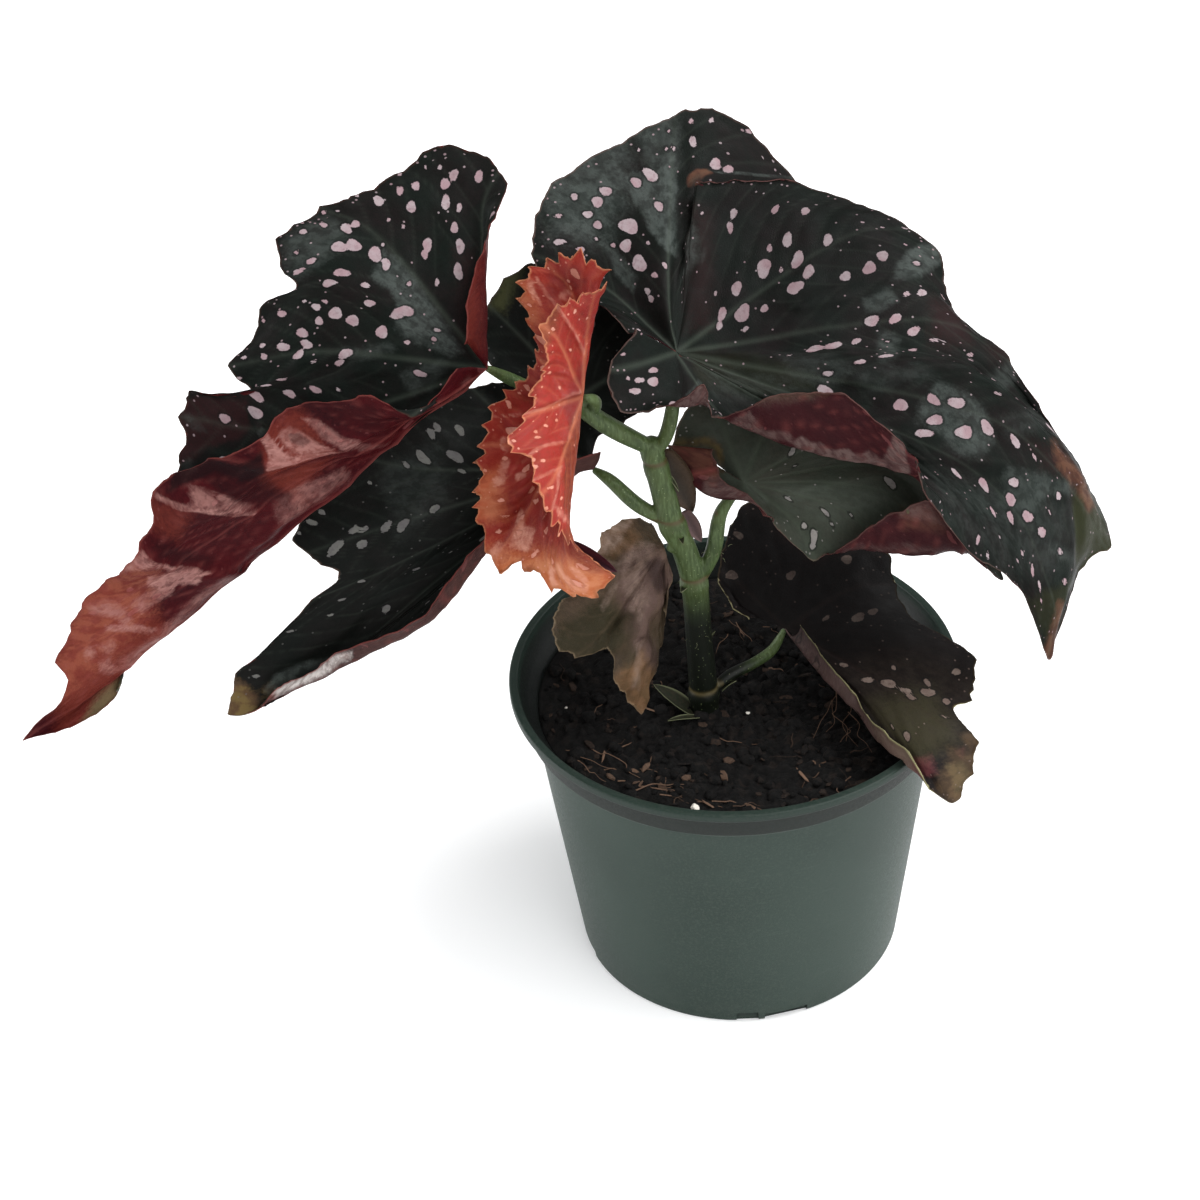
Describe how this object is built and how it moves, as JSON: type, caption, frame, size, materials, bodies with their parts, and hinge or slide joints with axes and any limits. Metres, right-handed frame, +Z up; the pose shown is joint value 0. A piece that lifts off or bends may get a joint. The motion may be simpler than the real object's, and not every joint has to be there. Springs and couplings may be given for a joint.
{
  "type": "potted begonia",
  "caption": "Cane begonia with large spotted, lobed leaves on arching petioles, growing from peat soil in a round tapered nursery pot.",
  "frame": {"origin": "middle of the pot's flat underside", "axes": "+Z up along the pot's axis; -Y is the side that the picture looks at; +X is the picture's right"},
  "size_m": [0.3805, 0.1602, 0.3102],
  "materials": {
    "pot": "satin",
    "soil": "matte",
    "stem": "satin",
    "leaf_dark": "satin",
    "leaf_maroon": "satin",
    "leaf_orange": "satin",
    "leaf_withered": "satin"
  },
  "bodies": {
    "root": {"pot": "pot", "soil": "soil", "stem": "stem", "leaf_large": "leaf_dark", "leaf_folded": "leaf_maroon", "leaf_low_left": "leaf_dark", "leaf_orange": "leaf_orange", "leaf_under": "leaf_dark", "leaf_low_right": "leaf_maroon", "leaf_withered": "leaf_withered", "leaf_back": "leaf_dark"}
  },
  "joints": []
}
